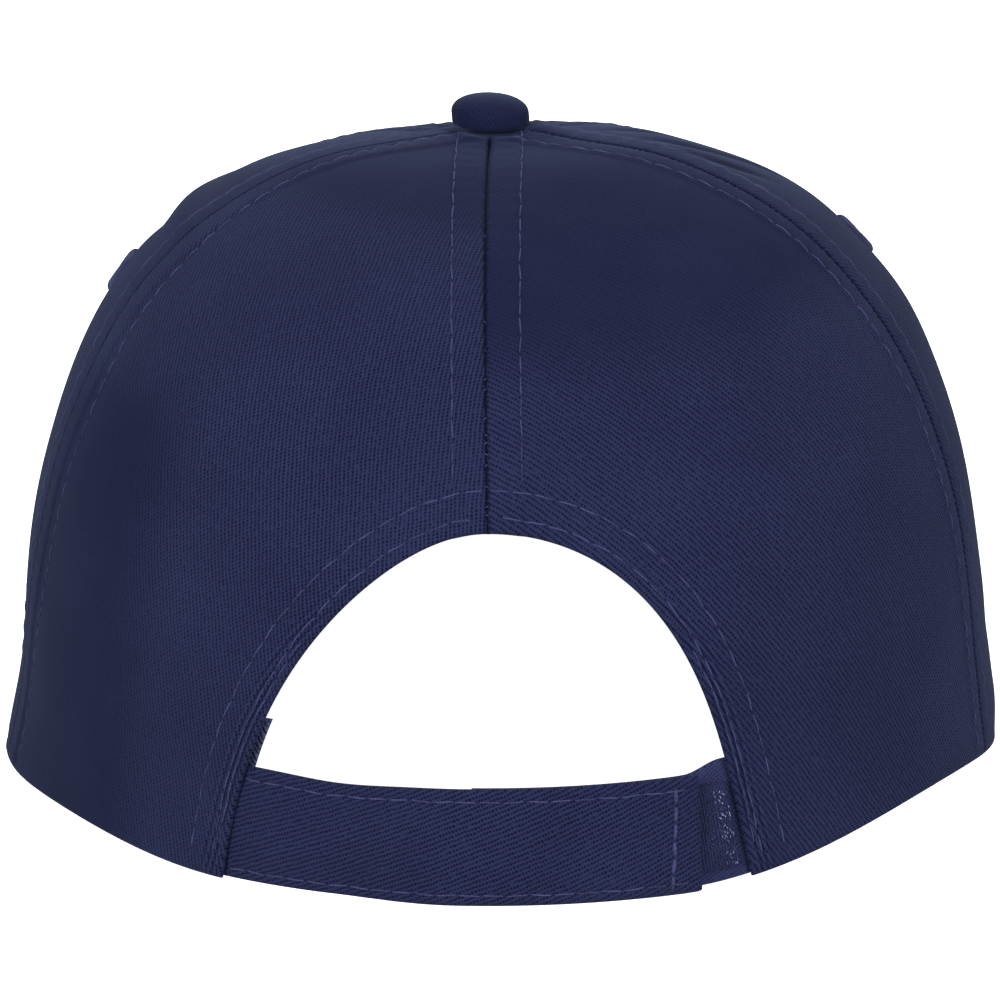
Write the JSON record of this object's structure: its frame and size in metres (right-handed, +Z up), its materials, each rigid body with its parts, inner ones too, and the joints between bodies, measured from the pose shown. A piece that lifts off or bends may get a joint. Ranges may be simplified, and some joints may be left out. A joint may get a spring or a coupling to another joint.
{
  "type": "five panel cap",
  "caption": "Twill cap of sewn panels with a covered top button, sewn eyelets, a curved peak, a sweatband and an arched back opening with a hook and loop strap.",
  "frame": {"origin": "on the surface the cap rests on, under the middle of its bounding box", "axes": "+Y forwards out of the peak, +Z up through the button, +X to the wearer's right"},
  "size_m": [0.1814, 0.2696, 0.1206],
  "materials": {
    "twill": "matte cotton twill",
    "thread": "satin sewing thread",
    "sweatband_cloth": "matte ribbed band",
    "hook_tape": "napped hook tape"
  },
  "bodies": {
    "root": {"front_panel": "twill", "side_panel_left": "twill", "side_panel_right": "twill", "back_panel_left": "twill", "back_panel_right": "twill", "top_button": "twill", "eyelet_left": "thread", "eyelet_right": "thread", "peak": "twill", "sweatband": "sweatband_cloth", "closure_strap": "twill", "hook_strap": "twill", "hook_patch": "hook_tape"}
  },
  "joints": []
}
